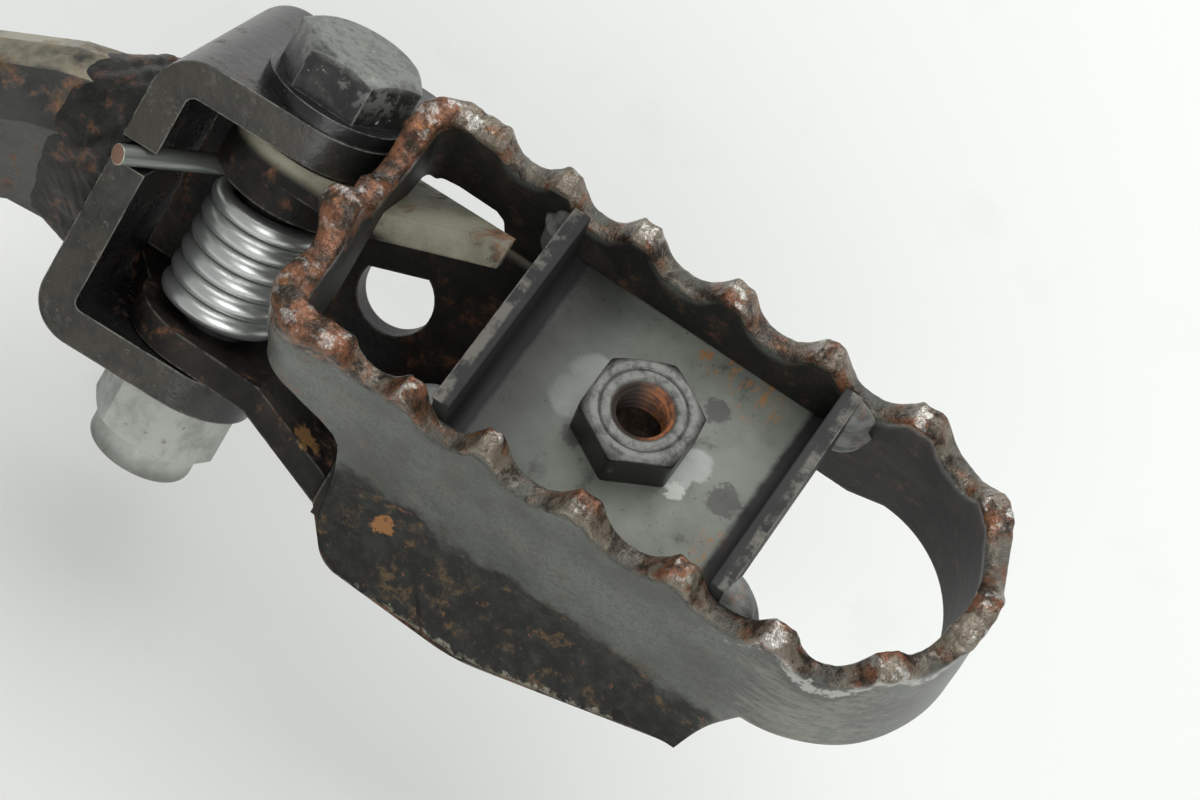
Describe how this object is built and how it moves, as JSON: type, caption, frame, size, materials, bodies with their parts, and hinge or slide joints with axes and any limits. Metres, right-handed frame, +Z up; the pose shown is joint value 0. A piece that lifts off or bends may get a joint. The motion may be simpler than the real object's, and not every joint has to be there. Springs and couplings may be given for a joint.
{
  "type": "motorcycle footrest bracket",
  "caption": "Folding rider footrest with a toothed ring tread, a centre nut for a pad and a sprung hinge, on an arm with a bolted frame plate.",
  "frame": {"origin": "middle of the frame plate's mounting face, between its bolt holes", "axes": "+X outboard from the motorcycle along the footrest, +Y forward, +Z up"},
  "size_m": [0.2156, 0.0742, 0.0993],
  "materials": {
    "black_paint": "satin",
    "worn_paint": "worn satin",
    "rusty_paint": "rusty satin",
    "weld": "rough",
    "dark_bolt": "worn",
    "zinc": "dull zinc",
    "nylon": "matte",
    "spring_steel": "bright"
  },
  "bodies": {
    "bracket": {"frame_plate": "black_paint", "support_arm": "black_paint", "plate_weld": "weld", "arm_weld": "weld", "clevis": "black_paint", "pivot_bolt": "dark_bolt", "bolt_washer": "black_paint", "lock_nut": "zinc", "lock_nut_insert": "nylon", "return_spring": "spring_steel"},
    "footrest": {"hinge_base": "rusty_paint", "tread_ring": "worn_paint", "nut_saddle": "worn_paint", "saddle_welds": "weld", "pad_nut": "dark_bolt"}
  },
  "joints": [
    {"name": "fold", "type": "hinge", "parent": "bracket", "child": "footrest", "pos_m": [0.0894, 0.015, 0.0195], "axis": [0, -0.6428, -0.766], "range_deg": [0, 75], "stiffness_Nm_per_rad": 4, "springref_deg": -20.05, "deforming": ["return_spring"]}
  ]
}
